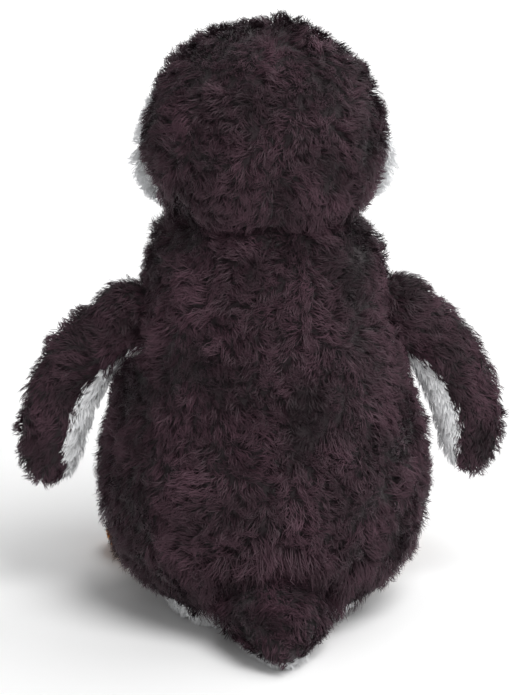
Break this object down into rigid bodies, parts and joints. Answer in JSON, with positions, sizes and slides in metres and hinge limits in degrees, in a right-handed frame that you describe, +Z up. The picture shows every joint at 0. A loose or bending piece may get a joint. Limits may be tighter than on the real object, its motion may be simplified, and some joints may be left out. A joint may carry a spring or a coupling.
{
  "type": "plush penguin",
  "caption": "Sitting plush penguin with a long-pile dark back, white front, round head, curved flippers, orange feet and a pointed tail.",
  "frame": {"origin": "middle of the flat rest face under the base, on the surface that the toy sits on", "axes": "+Z up through the head, -Y the way the face looks, +Y towards the tail, +X the toy's own left side"},
  "size_m": [0.2738, 0.2512, 0.346],
  "materials": {
    "dark_plush": "dark brown-aubergine long-pile plush, tufted, faint sheen",
    "white_plush": "cool white long-pile plush",
    "orange_plush": "short-pile mustard orange plush",
    "stuffing": "loose polyester fibre",
    "thread": "twisted sewing thread",
    "lining": "plain knitted backing",
    "pellet_cloth": "plain woven cotton",
    "label_satin": "blank satin ribbon",
    "eye_plastic": "polished black",
    "washer_plastic": "moulded natural white"
  },
  "bodies": {
    "torso": {"back_left": "dark_plush", "back_right": "dark_plush", "belly": "white_plush", "base": "white_plush", "torso_stuffing": "stuffing", "pellet_bag": "pellet_cloth", "closing_thread": "thread", "care_label": "label_satin"},
    "neck": {"neck_thread": "thread"},
    "head": {"head_back_left": "dark_plush", "head_back_right": "dark_plush", "face_left": "white_plush", "face_right": "white_plush", "head_stuffing": "stuffing", "eye_left": "eye_plastic", "eye_right": "eye_plastic", "eye_washer_left": "washer_plastic", "eye_washer_right": "washer_plastic", "beak_upper": "orange_plush", "beak_lower": "orange_plush", "beak_stuffing": "stuffing"},
    "shoulder_left": {"shoulder_gusset_left": "lining"},
    "flipper_left": {"flipper_outer_left": "dark_plush", "flipper_inner_left": "white_plush", "flipper_stuffing_left": "stuffing"},
    "shoulder_right": {"shoulder_gusset_right": "lining"},
    "flipper_right": {"flipper_outer_right": "dark_plush", "flipper_inner_right": "white_plush", "flipper_stuffing_right": "stuffing"},
    "foot_left": {"foot_upper_left": "orange_plush", "foot_sole_left": "orange_plush", "foot_stuffing_left": "stuffing"},
    "foot_right": {"foot_upper_right": "orange_plush", "foot_sole_right": "orange_plush", "foot_stuffing_right": "stuffing"},
    "tail": {"tail_upper": "dark_plush", "tail_under": "white_plush", "tail_stuffing": "stuffing"}
  },
  "joints": [
    {"name": "neck_nod", "type": "hinge", "parent": "torso", "child": "neck", "pos_m": [0, 0, 0.188], "axis": [1, 0, 0], "range_deg": [-12, 12], "stiffness_Nm_per_rad": 0.8},
    {"name": "neck_turn", "type": "hinge", "parent": "neck", "child": "head", "pos_m": [0, 0, 0.188], "axis": [0, 0, 1], "range_deg": [-25, 25], "stiffness_Nm_per_rad": 0.4},
    {"name": "flipper_swing_left", "type": "hinge", "parent": "torso", "child": "shoulder_left", "pos_m": [0.077, 0, 0.173], "axis": [0, 0, 1], "range_deg": [-25, 25], "stiffness_Nm_per_rad": 0.15},
    {"name": "flipper_lift_left", "type": "hinge", "parent": "shoulder_left", "child": "flipper_left", "pos_m": [0.077, 0, 0.173], "axis": [-0.342, -0.9397, 0], "range_deg": [-4, 60], "stiffness_Nm_per_rad": 0.2},
    {"name": "flipper_swing_right", "type": "hinge", "parent": "torso", "child": "shoulder_right", "pos_m": [-0.077, 0, 0.173], "axis": [0, 0, -1], "range_deg": [-25, 25], "stiffness_Nm_per_rad": 0.15},
    {"name": "flipper_lift_right", "type": "hinge", "parent": "shoulder_right", "child": "flipper_right", "pos_m": [-0.077, 0, 0.173], "axis": [-0.342, 0.9397, 0], "range_deg": [-4, 60], "stiffness_Nm_per_rad": 0.2},
    {"name": "foot_flap_left", "type": "hinge", "parent": "torso", "child": "foot_left", "pos_m": [0.043, -0.062, 0.0115], "axis": [-0.8829, -0.4695, 0], "range_deg": [0, 25], "stiffness_Nm_per_rad": 0.08},
    {"name": "foot_flap_right", "type": "hinge", "parent": "torso", "child": "foot_right", "pos_m": [-0.043, -0.062, 0.0115], "axis": [-0.8829, 0.4695, 0], "range_deg": [0, 25], "stiffness_Nm_per_rad": 0.08},
    {"name": "tail_bend", "type": "hinge", "parent": "torso", "child": "tail", "pos_m": [0, 0.084, 0.0225], "axis": [1, 0, 0], "range_deg": [0, 20], "stiffness_Nm_per_rad": 0.12}
  ]
}
